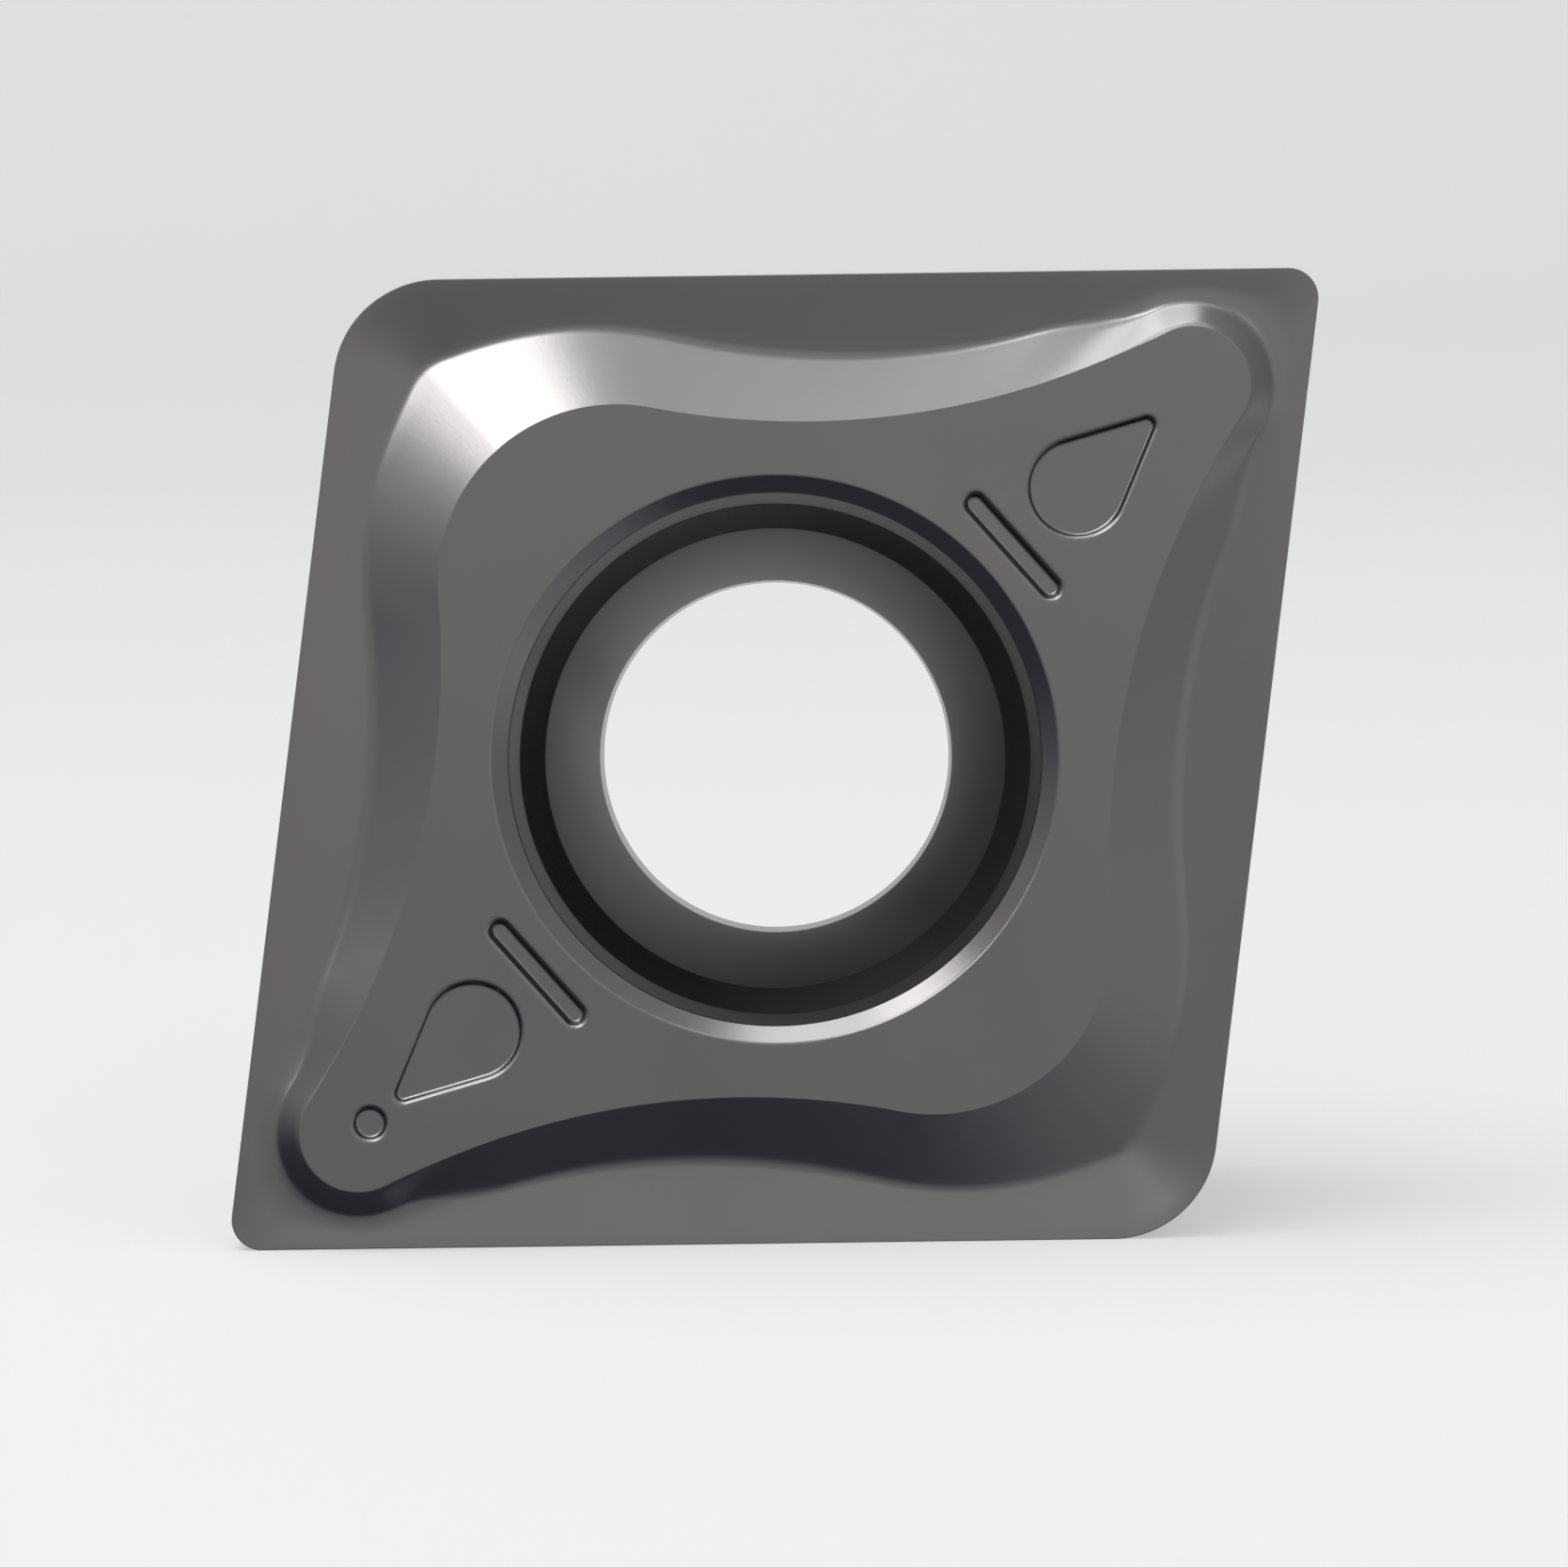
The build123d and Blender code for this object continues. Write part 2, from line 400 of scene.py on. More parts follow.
    def plateau(self, xy):
        """The plateau's height at every point."""
        return np.full(len(xy), self.sizes.plateau_height)

    def body(self, xy):
        """Ground, wall and boss, without the plateau's flat."""
        below = np.clip(self.sizes.plateau_height - self.raised(xy), 0.001, None)
        raised = soft_max(self.wall(xy), self.boss(xy), below * BOSS["wall_blend"])
        valley = self.valley_blend(xy)
        blend = valley + (BOSS["foot_blend"] - valley) * self.nose_share(xy)
        return soft_max(self.ground(xy), raised, blend)

    def height(self, xy):
        """Ground, wall, boss and plateau, joined by the valley's hollow and the crest's rounding."""
        slope = self.wall_slope(xy)
        blend = self.crest_run(xy) * (slope + (self.boss_slope - slope) * self.nose_share(xy))
        return -soft_max(-self.body(xy), -self.sizes.plateau_height, blend)

    def nose_share(self, xy):
        """1 over the sharp corner's arc, falling to 0 along the sides."""
        _, along = self.past_crest(xy)
        fade_end, fade = -0.5, 0.8
        return smooth_step((along - fade_end) / fade)

    def valley_run(self, xy):
        """How far the valley's rounding reaches to each side of the wall's foot."""
        wall_angle = np.arctan(np.minimum(self.wall_slope(xy), 1.0))
        return self.sizes.valley_radius * np.tan((wall_angle + self.sizes.rake_angle) / 2)

    def valley_blend(self, xy):
        """The height over which ground and wall blend, for the valley's rounding."""
        steep = np.minimum(self.wall_slope(xy), 1.0)
        return self.valley_run(xy) * (steep + math.tan(self.sizes.rake_angle))

    def crest_run(self, xy):
        """How far the crest's rounding reaches to each side of the wall's upper edge."""
        side = self.sizes.crest_radius * np.tan(np.arctan(self.wall_slope(xy)) / 2)
        return side + (BOSS["crest_run"] - side) * self.nose_share(xy)

    def foot(self, start, inward, length):
        """How far in from the cutting edge each spoke leaves the ground."""
        return first_inside(start, inward, length, self.ground, self.raised)

    def rim(self, start, inward, length):
        """How far in from the cutting edge each spoke reaches the plateau."""
        return first_inside(start, inward, length + RIM_MARGIN, self.plateau, self.body)


class MeshMaker:
    """Collects points and faces in drawing millimetres."""

    def __init__(self):
        self.points = []
        self.faces = []

    def ring(self, xyz):
        """Adds the points of a ring and gives their numbers."""
        first = len(self.points)
        self.points.extend(tuple(p) for p in xyz)
        return list(range(first, first + len(xyz)))

    def at(self, ring):
        """The points of a ring."""
        return np.array([self.points[i] for i in ring])

    def bridge(self, inner, outer):
        """Faces between two like rings; the inner ring is the one on the left of travel."""
        count = len(inner)
        for i in range(count):
            j = (i + 1) % count
            self.faces.append((inner[i], outer[i], outer[j], inner[j]))

    def skin(self, sections, last=None, inward=True):
        """Faces through a run of like rings; gives the run's first ring and its last."""
        first = last
        for section in sections:
            ring = self.ring(section)
            if last and inward:
                self.bridge(ring, last)
            elif last:
                self.bridge(last, ring)
            first = first or ring
            last = ring
        return first, last

    def cap(self, ring):
        """One flat face over a ring."""
        self.faces.append(tuple(ring))


def quarter_stations(face, side_points):
    """Matching stations of a body outline and a lobed outline, with spokes that cross the land squarely.

    Each station is a zone and a share of it, first on the body's outline, then on the lobed one."""
    sizes = face.sizes
    level = math.pi / 2 - face.half
    start = sizes.nose_radius / math.tan(face.half)
    whole = face.inradius * (1 / math.tan(face.half) + math.tan(face.half))
    end = whole - sizes.blunt_radius * math.tan(face.half)
    nose, nose_arc = face.crest["nose"]
    blunt, blunt_arc = face.crest["blunt"]
    nose_turn = bearing(face.crest["joins"][0] - nose)
    blunt_turn = bearing(face.crest["joins"][1] - blunt)
    abreast_nose = (face.inradius / math.sin(face.half) - nose[0]) * math.cos(face.half)
    abreast_blunt = whole - (face.inradius / math.cos(face.half) - blunt[1]) * math.sin(face.half)
    past_nose = abreast_nose + nose_arc * math.sin(nose_turn - level)
    past_blunt = abreast_blunt - blunt_arc * math.sin(level - blunt_turn)
    side = [(place - start) / (end - start) for place in (abreast_nose, past_nose, past_blunt, abreast_blunt)]
    nose_level = level / nose_turn
    blunt_level = (level - blunt_turn) / (math.pi / 2 - blunt_turn)
    nose_fan = nose_level * 0.45
    blunt_fan = blunt_level + (1 - blunt_level) * 0.6
    segments = (
        ("nose", 0, 1, "nose", 0, nose_fan, 8),
        ("side", 0, side[0], "nose", nose_fan, nose_level, 10),
        ("side", side[0], side[1], "nose", nose_level, 1, 8),
        ("side", side[1], side[2], "side", 0, 1, side_points),
        ("side", side[2], side[3], "blunt", 0, blunt_level, 8),
        ("side", side[3], 1, "blunt", blunt_level, blunt_fan, 14),
        ("blunt", 0, 1, "blunt", blunt_fan, 1, 14),
    )
    stations = []
    for zone, low, high, lobe_zone, lobe_low, lobe_high, steps in segments:
        for step in range(steps):
            t = step / steps
            lobe_share = lobe_low + (lobe_high - lobe_low) * t
            stations.append((zone, low + (high - low) * t, lobe_zone, lobe_share))
    return stations + [("blunt", 1, "blunt", 1)]


def all_round(quarter):
    """A whole outline from its first quarter, by the body's two mirror planes."""
    x, y = quarter[:, 0], quarter[:, 1]
    half = np.concatenate([quarter, np.stack([-x, y], axis=1)[-2::-1]])
    return np.concatenate([half, -half[1:-1]])


def rounded_rhombus(face, stations, inset, nose_arc, blunt_arc):
    """Points and outward directions of a rounded rhombus at matching stations."""
    turn = math.pi / 2 - face.half
    reach = face.inradius - inset
    nose = np.array([(reach - nose_arc) / math.sin(face.half), 0.0])
    blunt = np.array([0.0, (reach - blunt_arc) / math.cos(face.half)])
    start = nose + nose_arc * unit(turn)
    end = blunt + blunt_arc * unit(turn)
    points = []
    outward = []
    for zone, share, _, _ in stations:
        if zone == "nose":
            direction = unit(turn * share)
            points.append(nose + nose_arc * direction)
        elif zone == "side":
            direction = unit(turn)
            points.append(start + (end - start) * share)
        else:
            direction = unit(turn + (math.pi / 2 - turn) * share)
            points.append(blunt + blunt_arc * direction)
        outward.append(direction)
    return all_round(np.array(points)), all_round(np.array(outward))


def with_height(xy, z):
    """Plan points with one height or a height each."""
    return np.column_stack([xy, np.broadcast_to(z, len(xy))])


def rounded_profile(corners, roundings, steps=4):
    """A section line with each corner cut by a small round, and a point held close beyond it."""
    held = 1.6
    corners = [np.array(c, float) for c in corners]
    line = [corners[0]]
    for before, corner, after, run in zip(corners, corners[1:], corners[2:], roundings):
        towards = (before - corner) / np.linalg.norm(before - corner)
        away = (after - corner) / np.linalg.norm(after - corner)
        line.append(corner + towards * run * held)
        for step in range(steps + 1):
            t = step / steps
            line.append(corner + towards * run * (1 - t) ** 2 + away * run * t**2)
        line.append(corner + away * run * held)
    line.append(corners[-1])
    return line


def hull_ring(first, second, shrink, steps):
    """Outline of the hull of two circles on the long diagonal, moved in by shrink."""
    (low, low_radius), (high, high_radius) = first, second
    tangent = math.acos((low_radius - high_radius) / (high - low))
    around_low = np.linspace(tangent, 2 * math.pi - tangent, 3 * steps)
    around_high = np.linspace(-tangent, tangent, 2 * steps)
    points = [np.array([low, 0]) + (low_radius - shrink) * unit(a) for a in around_low]
    points += [np.array([high, 0]) + (high_radius - shrink) * unit(a) for a in around_high]
    return np.array(points)


def drop_ring(shrink):
    """Outline of a drop whose tip points at the sharp corner."""
    return hull_ring(DROP["big"], DROP["small"], shrink, 20)


def bar_ring(shrink):
    """Outline of a bar with round ends, square across the diagonal."""
    ends = (-BAR["half_span"], BAR["radius"]), (BAR["half_span"], BAR["radius"])
    lying = hull_ring(ends[0], ends[1], shrink, 14)
    return np.column_stack([BAR["place"] - lying[:, 1], lying[:, 0]])


def dot_ring(shrink):
    """Outline of the dot beyond one of the drops."""
    angles = np.linspace(0, 2 * math.pi, 48, endpoint=False)
    radius = DOT["radius"] - shrink
    return np.column_stack([DOT["place"] + radius * np.cos(angles), radius * np.sin(angles)])


def mark_section(depth):
    """Section of a pressed mark: (shrink, drop) from the plateau over the rim to the floor."""
    rim_flat, floor_flat = 0.07, 0.05
    draft = depth * math.tan(math.radians(MARK_DRAFT))
    corners = [(-rim_flat, 0.0), (0.0, 0.0), (draft, -depth), (draft + floor_flat, -depth)]
    return rounded_profile(corners, MARK_ROUNDINGS)


def bulged_line(start, end, bulge, steps=16):
    """Points of an arc from start to end that stands out to the left of travel by bulge at its middle."""
    start, end = np.array(start), np.array(end)
    chord = end - start
    length = np.linalg.norm(chord)
    left = np.array([-chord[1], chord[0]]) / length
    half_turn = 2 * math.atan(2 * bulge / length)
    points = []
    for turn in np.linspace(-half_turn, half_turn, steps + 1):
        along = (1 + math.sin(turn) / math.sin(half_turn)) / 2
        out = bulge * (math.cos(turn) - math.cos(half_turn)) / (1 - math.cos(half_turn))
        points.append(start + chord * along + left * out)
    return points


def hole_section(sizes):
    """Section of the screw hole from the plateau down to the seat."""
    top = sizes.plateau_height
    seat = -sizes.thickness
    flat = 0.08
    edges = (MOUTH, CHAMFER_FOOT, COLLAR_FOOT, STEP_FOOT, THROAT_TOP)
    levels = [(radius, top - depth) for radius, depth in edges]
    bowl = bulged_line(levels[3], levels[4], -BOWL_BULGE)
    upper = [(MOUTH[0] + flat, top), *levels[:3], *bowl[:2]]
    throat = THROAT_TOP[0]
    lower = [
        *bowl[-2:],
        (throat, seat + BACK_CHAMFER),
        (throat + BACK_CHAMFER, seat),
        (throat + BACK_CHAMFER + flat, seat),
    ]
    above = rounded_profile(upper, HOLE_ROUNDINGS)
    below = rounded_profile(lower, THROAT_ROUNDINGS)
    return above + bowl[2:-2] + below


def edge_and_flanks(maker, face, stations):
    """The honed cutting edge and the flanks; gives the edge's inner ring and the seat's outer loop."""
    sizes = face.sizes
    edge, outward = rounded_rhombus(face, stations, 0, sizes.nose_radius, sizes.blunt_radius)
    draw_in = sizes.thickness * math.tan(sizes.clearance_angle)
    seat_edge, _ = rounded_rhombus(face, stations, draw_in, sizes.seat_nose_radius, sizes.seat_blunt_radius)

    towards_land = -unit(sizes.rake_angle)
    towards_flank = -unit(math.pi / 2 - sizes.clearance_angle)
    hone = []
    for share in np.linspace(0, 1, 5):
        shift = (towards_land * (1 - share) ** 2 + towards_flank * share**2) * sizes.edge_hone
        hone.append(with_height(edge + outward * shift[0], shift[1]))
    inner, outer = maker.skin(hone, inward=False)

    top, bottom = maker.at(outer), with_height(seat_edge, -sizes.thickness)
    flank = [top + (bottom - top) * share for share in (0.02, 0.25, 0.5, 0.75, 0.98, 0.995)]
    seat = [with_height(seat_edge * share, -sizes.thickness) for share in (0.9975, 0.985)]
    _, seat_loop = maker.skin(flank + seat, last=outer, inward=False)
    return inner, seat_loop


def chip_breaker(maker, face, stations, edge_ring):
    """Land, valley, wall and crest, from the cutting edge in; gives the plateau's outer loop."""
    start = maker.at(edge_ring)[:, :2]
    crest = lobe_ring(face.crest, stations)
    length = np.linalg.norm(crest - start, axis=1)
    inward = (crest - start) / length[:, None]
    foot = face.foot(start, inward, length)
    rim = face.rim(start, inward, length)
    valley_run = face.valley_run(start + inward * foot[:, None])
    crest_run = face.crest_run(start + inward * rim[:, None])
    low, high = foot + valley_run, rim - crest_run
    runs = [(foot - valley_run) * share for share in (0.2, 0.4, 0.6, 0.8, 1.0)]
    runs += [foot + valley_run * s for s in (-0.75, -0.5, -0.25, -0.1, 0.0, 0.1, 0.25, 0.5, 0.75, 1.0)]
    runs += [low + (high - low) * step / 10 for step in range(1, 11)]
    runs += [rim + crest_run * s for s in (-0.7, -0.4, -0.15, 0.1, 0.35, 0.65, 1.0)]
    runs += [rim + crest_run + flat for flat in (0.02, 0.05)]
    plan = [start + inward * run[:, None] for run in runs]
    _, plateau_loop = maker.skin([with_height(xy, face.height(xy)) for xy in plan], last=edge_ring)
    return plateau_loop


def corner_marks(maker, plateau_height):
    """A drop and a bar at both sharp corners and the dot; gives the loop of each in the plateau."""
    both = (1, -1)
    marks = ((drop_ring, DROP["depth"], both), (bar_ring, BAR["depth"], both), (dot_ring, DOT["depth"], (1,)))
    loops = []
    for outline, depth, turns in marks:
        section = mark_section(depth)
        for turn in turns:
            rings = [with_height(outline(shrink) * turn, plateau_height + drop) for shrink, drop in section]
            loop, floor = maker.skin(rings)
            maker.cap(floor)
            loops.append(loop)
    return loops


def screw_hole(maker, sizes):
    """The hole's wall; gives its loop in the plateau and its loop in the seat."""
    angles = np.linspace(0, 2 * math.pi, 288, endpoint=False)
    circle = np.column_stack([np.cos(angles), np.sin(angles)])
    return maker.skin([with_height(circle * radius, height) for radius, height in hole_section(sizes)])


def build_insert_mesh(sizes, side_points):
    """The skin in drawing millimetres, with the loops that bound its two flat faces, plateau and seat."""
    face = RakeFace(sizes)
    stations = quarter_stations(face, side_points)
    maker = MeshMaker()
    edge_ring, seat_loop = edge_and_flanks(maker, face, stations)
    plateau_loop = chip_breaker(maker, face, stations, edge_ring)
    mark_loops = corner_marks(maker, sizes.plateau_height)
    mouth, throat = screw_hole(maker, sizes)
    return maker, [plateau_loop, *mark_loops, mouth], [seat_loop, throat]


def fill_between(mesh_edit, verts, loops):
    """Closes the flat area that an outer loop and the loops inside it bound."""
    edges = []
    for loop in loops:
        for a, b in zip(loop, loop[1:] + loop[:1]):
            found = mesh_edit.edges.get((verts[a], verts[b]))
            edges.append(found or mesh_edit.edges.new((verts[a], verts[b])))
    bmesh.ops.triangle_fill(mesh_edit, use_beauty=True, edges=edges)


def standing_place(sizes):
    """From drawing millimetres to the shared frame: one edge level, the flank below it on the ground."""
    lean = math.pi / 2 - sizes.clearance_angle
    turn = Matrix.Rotation(lean, 4, "X") @ Matrix.Rotation(sizes.nose_angle / 2, 4, "Z")
    low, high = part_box(NODE)
    inradius = sizes.inscribed_circle / 2
    draw_in = sizes.thickness * math.tan(sizes.clearance_angle)
    back = (inradius - draw_in) * math.cos(lean) + sizes.thickness * math.sin(lean)
    shift = Vector(((low.x + high.x) / 2, high.y - back * MM, low.z + inradius * math.sin(lean) * MM))
    return Matrix.Translation(shift) @ turn @ Matrix.Scale(MM, 4)


def add_node(tree, kind, place, settings=None, values=None):
    """A node with its settings and unlinked input values."""
    node = tree.nodes.new(kind)
    node.location = place
    for name, value in (settings or {}).items():
        setattr(node, name, value)
    for name, value in (values or {}).items():
        node.inputs[name].default_value = value
    return node


def join(tree, links):
    """Links each output to its input."""
    for output, taker in links:
        tree.links.new(output, taker)


def coated_carbide(looks):
    """Dark, smooth, slightly warm coating over sintered carbide, with its cloudy tone and fine grain."""
    material = bpy.data.materials.new("coated_carbide")
    material.use_nodes = True
    tree = material.node_tree
    tree.nodes.clear()
    output = add_node(tree, "ShaderNodeOutputMaterial", (600, 0))
    shader = add_node(tree, "ShaderNodeBsdfPrincipled", (300, 0), values={"Metallic": 1.0})
    place = add_node(tree, "ShaderNodeTexCoord", (-900, 0))
    grain = add_node(
        tree, "ShaderNodeTexNoise", (-600, -200), values={"Scale": 30000.0, "Detail": 3.0, "Roughness": 0.6}
    )
    cloud = add_node(
        tree, "ShaderNodeTexNoise", (-600, 200), values={"Scale": 350.0, "Detail": 4.0, "Roughness": 0.5}
    )
    tone = add_node(tree, "ShaderNodeValToRGB", (-300, 200))
    shades = ((0.3, (0.97, 0.97, 0.98)), (0.7, (1.03, 1.03, 1.02)))
    for element, (position, shade) in zip(tone.color_ramp.elements, shades):
        element.position = position
        element.color = (*(level * part for level, part in zip(looks.coat_colour, shade)), 1)
    spread = 0.015
    blur = add_node(
        tree, "ShaderNodeMapRange", (-300, -50),
        values={
            "From Min": 0.3, "From Max": 0.7,
            "To Min": looks.coat_roughness - spread, "To Max": looks.coat_roughness + spread,
        },
    )
    bump = add_node(tree, "ShaderNodeBump", (0, -250), values={"Strength": 0.3, "Distance": 0.000002})
    join(tree, (
        (place.outputs["Object"], grain.inputs["Vector"]),
        (place.outputs["Object"], cloud.inputs["Vector"]),
        (cloud.outputs["Fac"], tone.inputs["Fac"]),
        (tone.outputs["Color"], shader.inputs["Base Color"]),
        (cloud.outputs["Fac"], blur.inputs["Value"]),
        (blur.outputs["Result"], shader.inputs["Roughness"]),
        (grain.outputs["Fac"], bump.inputs["Height"]),
        (bump.outputs["Normal"], shader.inputs["Normal"]),
        (shader.outputs["BSDF"], output.inputs["Surface"]),
    ))
    return material


def closed_mesh(maker, loops):
    """A mesh from the skin, with the flat faces between their loops filled in."""
    mesh = bpy.data.meshes.new("rake_face_insert")
    edit = bmesh.new()
    verts = [edit.verts.new(point) for point in maker.points]
    edit.verts.ensure_lookup_table()
    for face in maker.faces:
        edit.faces.new([verts[i] for i in face])
    for flat in loops:
        fill_between(edit, verts, flat)
    if not all(edge.is_manifold for edge in edit.edges):
        raise RuntimeError("the insert's skin isn't closed")
    bmesh.ops.recalc_face_normals(edit, faces=edit.faces)
    for face in edit.faces:
        face.smooth = True
    edit.to_mesh(mesh)
    edit.free()
    return mesh


class BuildInsert(bpy.types.Operator):
    """Make the insert's body and set it where the frame's node stands"""

    bl_idname = "insert.build_body"
    bl_label = "Build insert body"

    def execute(self, context):
        sizes = drawn(context.scene.insert_sizes)
        looks = context.scene.insert_looks
        maker, *loops = build_insert_mesh(sizes, looks.side_points)
        mesh = closed_mesh(maker, loops)
        mesh.transform(standing_place(sizes))
        mesh.materials.append(coated_carbide(looks))
        piece = bpy.data.objects.new("insert_finished", mesh)
        context.scene.collection.objects.link(piece)
        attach(piece, "root")
        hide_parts(NODE)
        return {"FINISHED"}


def floor_material(looks):
    """Plain pale matt floor, painted a little darker with distance as painted shade, that glows evenly for
    the camera.
    """
    material = bpy.data.materials.new("studio_floor")
    material.use_nodes = True
    tree = material.node_tree
    tree.nodes.clear()
    place = add_node(tree, "ShaderNodeTexCoord", (-600, 0))
    split = add_node(tree, "ShaderNodeSeparateXYZ", (-400, 0))
    # Painted shade: the colour, and the glow that takes it, is painted darker from near the insert towards
    # the back, standing in for light that falls off with distance.
    lightest, darkest = -0.005, 0.11
    reach = add_node(
        tree, "ShaderNodeMapRange", (-200, 0), values={"From Min": lightest, "From Max": darkest}
    )
    tone = add_node(tree, "ShaderNodeValToRGB", (0, 0))
    shader = add_node(tree, "ShaderNodeBsdfDiffuse", (300, 0))
    glow = add_node(tree, "ShaderNodeEmission", (300, -200), values={"Strength": looks.floor_glow})
    seen = add_node(tree, "ShaderNodeLightPath", (300, 300))
    lit = add_node(tree, "ShaderNodeAddShader", (450, -100))
    choice = add_node(tree, "ShaderNodeMixShader", (600, 100))
    output = add_node(tree, "ShaderNodeOutputMaterial", (800, 0))
    near, far = tone.color_ramp.elements
    near.color = (*looks.floor_colour, 1)
    far.color = (*(level * looks.floor_painted_fall for level in looks.floor_colour), 1)
    join(tree, (
        (place.outputs["Object"], split.inputs["Vector"]),
        (split.outputs["Y"], reach.inputs["Value"]),
        (reach.outputs["Result"], tone.inputs["Fac"]),
        (tone.outputs["Color"], shader.inputs["Color"]),
        (tone.outputs["Color"], glow.inputs["Color"]),
        (shader.outputs["BSDF"], lit.inputs[0]),
        (glow.outputs["Emission"], lit.inputs[1]),
        (seen.outputs["Is Camera Ray"], choice.inputs["Fac"]),
        (shader.outputs["BSDF"], choice.inputs[1]),
        (lit.outputs["Shader"], choice.inputs[2]),
        (choice.outputs["Shader"], output.inputs["Surface"]),
    ))
    return material


def sheet_mesh(name, section):
    """A wide sheet drawn along X from its section of (y, z) points, in metres."""
    half_width = 0.8
    verts = [(side, y, z) for y, z in section for side in (-half_width, half_width)]
    faces = [(a, a + 1, a + 3, a + 2) for a in range(0, len(verts) - 2, 2)]
    mesh = bpy.data.meshes.new(name)
    mesh.from_pydata(verts, [], faces)
    for polygon in mesh.polygons:
        polygon.use_smooth = True
    return mesh


def stage_sheets():
    """Front floor, rear floor and the backdrop that rises from it, each a name and a section."""
    front_end, split, near_end, floor_end, bend, top = -0.6, 0.0033, 0.02, 0.18, 0.10, 0.9
    turns = np.linspace(0, math.pi / 2, 17)[1:]
    rise = [(floor_end + bend * math.sin(turn), bend * (1 - math.cos(turn))) for turn in turns]
    return (
        ("front_floor", [(front_end, 0.0), (split, 0.0)]),
        ("rear_floor", [(split, 0.0), (near_end, 0.0)]),
        ("backdrop", [(near_end, 0.0), (floor_end, 0.0), *rise, (floor_end + bend, top)]),
    )


def direction_ramp(tree, direction, axis, stops, place):
    """Colour by how far a direction leans towards an axis, from -1 away to 1 along it."""
    lean = add_node(tree, "ShaderNodeVectorMath", place, settings={"operation": "DOT_PRODUCT"})
    lean.inputs[1].default_value = Vector(axis).normalized()
    spread = add_node(
        tree, "ShaderNodeMapRange", (place[0] + 200, place[1]), values={"From Min": -1.0, "From Max": 1.0}
    )
    node = add_node(tree, "ShaderNodeValToRGB", (place[0] + 400, place[1]))
    elements = node.color_ramp.elements
    while len(elements) < len(stops):
        elements.new(0.5)
    for element, (position, level, tint) in zip(elements, stops):
        element.position = (position + 1) / 2
        element.color = (level, level, level * tint, 1)
    join(tree, (
        (direction, lean.inputs[0]),
        (lean.outputs["Value"], spread.inputs["Value"]),
        (spread.outputs["Result"], node.inputs["Fac"]),
    ))
    return node.outputs["Color"]


# A ramp's colours stop at 1, so the bands that go over it are drawn lower and the world is made that much
# stronger.
HEADROOM = 1.1

# Tones of the room. Each ramp has an axis and stops along it, from -1 away from the axis to 1 along it,
# with a level and how blue it is against grey.
FRONT_ROOM = ((0.35, -0.10, 0.93), (
    (-1.0, 0.10, 1.35), (-0.56, 0.12, 1.35), (-0.38, 0.27, 1.2), (-0.14, 0.53, 1.05),
    (0.08, 0.70, 1.0), (0.30, 0.86, 0.98), (0.60, 0.86, 0.98), (1.0, 0.75, 1.0),
))
REAR_ROOM = ((0.7, 0.0, -0.7), ((-1.0, 0.13, 1.0), (-0.5, 0.14, 1.0), (0.5, 0.38, 1.0), (1.0, 0.42, 1.0)))
BEHIND = ((0.0, 1.0, 0.0), ((-1.0, 0.0, 1.0), (0.25, 0.0, 1.0), (0.60, 1.0, 1.0), (1.0, 1.0, 1.0)))
UPPER_RIGHT_BANDS = ((0.57, 0.0, 0.82), tuple(
    (lean, level / HEADROOM, 1.0) for lean, level in (
        (-1.0, 1.0), (-0.20, 1.0), (-0.08, 0.93), (0.0, 0.80), (0.05, 0.88),
        (0.13, 1.05), (0.24, 1.07), (0.36, 0.96), (0.50, 1.0), (1.0, 1.0),
    )
))
FAR_RIGHT = ((1.0, 0.0, 0.0), (
    (-1.0, 1.0, 1.0), (0.55, 1.0, 1.0), (0.85, 0.80, 1.0), (0.97, 0.66, 1.0), (1.0, 0.66, 1.0),
))
LOW_RIGHT = ((0.8, 0.0, -0.6), ((-1.0, 0.0, 1.0), (0.80, 0.0, 1.0), (0.92, 0.32, 1.0), (1.0, 0.26, 1.0)))
STRAIGHT_BEHIND = ((0.0, 0.9925, -0.122), (
    (-1.0, 0.0, 1.0), (0.96, 0.0, 1.0), (0.985, 0.5, 1.0), (1.0, 0.5, 1.0),
))

# Sockets of the Mix node that work on colours.
MIX_SHARE, MIX_FIRST, MIX_SECOND, MIX_RESULT = 0, 6, 7, 2


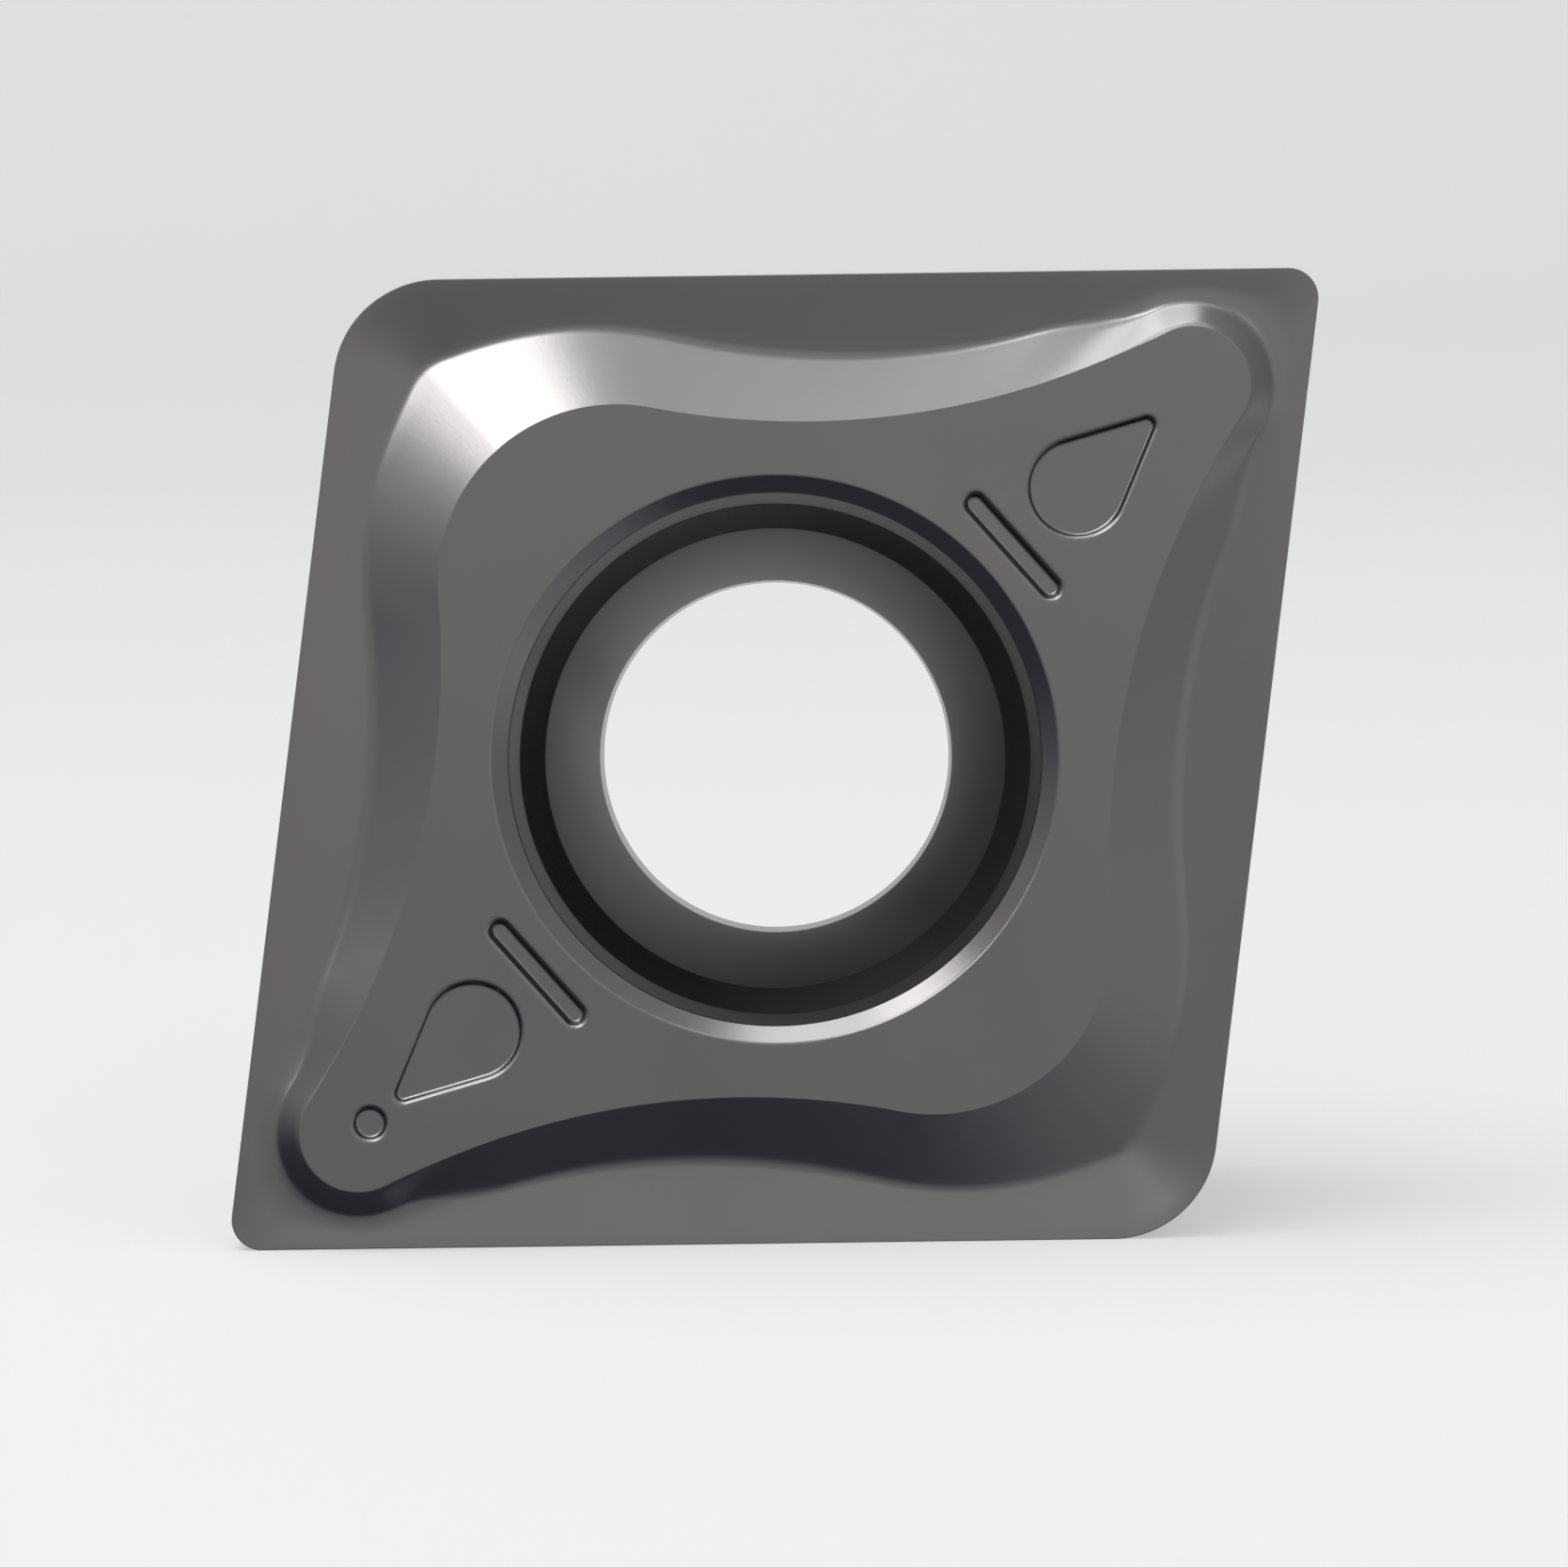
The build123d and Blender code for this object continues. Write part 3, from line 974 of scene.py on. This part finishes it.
def studio_world():
    """Soft room light: even in front, dim to the left, dark below, dimmer behind."""
    world = bpy.data.worlds.new("studio_room")
    world.use_nodes = True
    tree = world.node_tree
    tree.nodes.clear()
    output = add_node(tree, "ShaderNodeOutputWorld", (1300, 0))
    background = add_node(tree, "ShaderNodeBackground", (1100, 0), values={"Strength": HEADROOM})
    direction = add_node(tree, "ShaderNodeTexCoord", (-900, 0)).outputs["Generated"]
    rooms = (FRONT_ROOM, REAR_ROOM, BEHIND, UPPER_RIGHT_BANDS, FAR_RIGHT, LOW_RIGHT, STRAIGHT_BEHIND)
    front, rear, behind, bands, far_right, low_right, straight_behind = (
        direction_ramp(tree, direction, axis, stops, (-500, 200 - 400 * number))
        for number, (axis, stops) in enumerate(rooms)
    )
    blend = add_node(tree, "ShaderNodeMix", (300, 0), settings={"data_type": "RGBA"})
    join(tree, (
        (behind, blend.inputs[MIX_SHARE]), (front, blend.inputs[MIX_FIRST]), (rear, blend.inputs[MIX_SECOND]),
    ))
    colour = blend.outputs[MIX_RESULT]
    steps = (("MULTIPLY", bands), ("MULTIPLY", far_right), ("ADD", low_right), ("ADD", straight_behind))
    for number, (kind, ramp) in enumerate(steps):
        step = add_node(
            tree, "ShaderNodeMix", (450 + 150 * number, 0),
            settings={"data_type": "RGBA", "blend_type": kind}, values={"Factor": 1.0},
        )
        join(tree, ((colour, step.inputs[MIX_FIRST]), (ramp, step.inputs[MIX_SECOND])))
        colour = step.outputs[MIX_RESULT]
    join(tree, (
        (colour, background.inputs["Color"]), (background.outputs["Background"], output.inputs["Surface"]),
    ))
    return world


# Each softbox: name, direction from the insert, distance and diameter in metres, brightness, and whether
# it lights the floor.
SOFTBOXES = (
    ("key_softbox", (-0.342, -0.692, 0.636), 0.30, 0.125, 7.5, False),
    ("front_top_softbox", (-0.02, -0.40, 0.91), 0.35, 0.30, 1.1, False),
    ("top_softbox", (-0.25, 0.10, 0.96), 0.40, 0.373, 2.7, True),
    ("left_top_softbox", (-0.53, -0.03, 0.85), 0.42, 0.17, 2.9, False),
    ("left_softbox", (-0.690, -0.565, 0.452), 0.35, 0.050, 5.0, False),
    ("right_softbox", (0.399, -0.764, 0.510), 0.35, 0.050, 1.5, False),
)


def softbox(name, direction, distance, diameter, brightness, on_floor):
    """A round soft lamp of a given brightness, facing the insert."""
    light = bpy.data.lights.new(name, "AREA")
    light.shape = "DISK"
    light.size = diameter
    light.energy = brightness * math.pi**2 * (diameter / 2) ** 2
    lamp = bpy.data.objects.new(name, light)
    insert_middle = Vector((0, -0.002, 0.0063))
    lamp.location = insert_middle + Vector(direction).normalized() * distance
    lamp.rotation_euler = Vector(direction).to_track_quat("Z", "Y").to_euler()
    lamp.visible_camera = False
    lamp.visible_diffuse = on_floor
    return lamp


# The camera: image size and the places in it of the hole's centre and of the point straight ahead, all in
# pixels, pixels to the millimetre at the rake face, distance from it in millimetres and roll in degrees.
IMAGE = (1668, 1667)
HOLE_CENTRE = (824.5, 807.5)
STRAIGHT_AHEAD = (850.0, 720.0)
IMAGE_SCALE = 81.2
CAMERA_DISTANCE = 80.0
CAMERA_ROLL = 0.764


def photo_camera(sizes):
    """The camera square to the rake face, set a little high and shifted down onto the insert."""
    roll = math.radians(CAMERA_ROLL)
    lean = math.pi / 2 - sizes.clearance_angle
    across = Vector((1, 0, 0))
    upward = Vector((0, math.cos(lean), math.sin(lean)))
    normal = Vector((0, -math.sin(lean), math.cos(lean)))
    right = across * math.cos(roll) - upward * math.sin(roll)
    up = across * math.sin(roll) + upward * math.cos(roll)
    data = bpy.data.cameras.new("photo_camera")
    data.sensor_fit = "HORIZONTAL"
    data.sensor_width = 36
    data.lens = CAMERA_DISTANCE * IMAGE_SCALE * data.sensor_width / IMAGE[0]
    data.shift_x = (IMAGE[0] / 2 - STRAIGHT_AHEAD[0]) / IMAGE[0]
    data.shift_y = (STRAIGHT_AHEAD[1] - IMAGE[1] / 2) / IMAGE[0]
    data.clip_start = 0.001
    data.clip_end = 10
    camera = bpy.data.objects.new("photo_camera", data)
    aside = right * (STRAIGHT_AHEAD[0] - HOLE_CENTRE[0]) + up * (HOLE_CENTRE[1] - STRAIGHT_AHEAD[1])
    offset = aside / IMAGE_SCALE + normal * CAMERA_DISTANCE
    spin = Matrix((right, up, normal)).transposed().to_4x4()
    hole_centre = standing_place(sizes) @ Vector((0, 0, 0))
    camera.matrix_world = Matrix.Translation(hole_centre + offset * MM) @ spin
    return camera


class BuildStudio(bpy.types.Operator):
    """Lay the floor and backdrop, hang the lights and set the camera"""

    bl_idname = "insert.build_studio"
    bl_label = "Build studio"

    def execute(self, context):
        scene = context.scene
        looks = scene.insert_looks
        finish = floor_material(looks)
        for name, section in stage_sheets():
            sheet = bpy.data.objects.new(name, sheet_mesh(name, section))
            sheet.data.materials.append(finish)
            # The metal in the photo doesn't show the floor; the world's tones stand in for it there.
            sheet.visible_glossy = False
            scene.collection.objects.link(sheet)
        scene.world = studio_world()
        for each in SOFTBOXES:
            scene.collection.objects.link(softbox(*each))
        camera = photo_camera(drawn(scene.insert_sizes))
        scene.collection.objects.link(camera)
        scene.camera = camera
        scene.view_settings.view_transform = "Standard"
        return {"FINISHED"}


class InsertPanel(bpy.types.Panel):
    """Sizes, finish and the steps that build the insert"""

    bl_idname = "VIEW3D_PT_insert"
    bl_label = "Carbide insert"
    bl_space_type = "VIEW_3D"
    bl_region_type = "UI"
    bl_category = "Insert"

    def draw(self, context):
        column = self.layout.column()
        for group in (context.scene.insert_sizes, context.scene.insert_looks):
            for name in group.bl_rna.properties.keys():
                if name not in ("rna_type", "name"):
                    column.prop(group, name)
        for step in STEPS:
            column.operator(step.bl_idname)


STEPS = (BuildInsert, BuildStudio)
CLASSES = (InsertSizes, InsertLooks, *STEPS, InsertPanel)


def register():
    """Makes the classes and the two groups of settings known to Blender."""
    for each in CLASSES:
        bpy.utils.register_class(each)
    bpy.types.Scene.insert_sizes = PointerProperty(type=InsertSizes)
    bpy.types.Scene.insert_looks = PointerProperty(type=InsertLooks)


def unregister():
    """Takes back what register did."""
    del bpy.types.Scene.insert_looks
    del bpy.types.Scene.insert_sizes
    for each in reversed(CLASSES):
        bpy.utils.unregister_class(each)


def main():
    """Builds insert and studio in order."""
    register()
    bpy.ops.insert.build_body()
    bpy.ops.insert.build_studio()


if __name__ == "__main__":
    main()
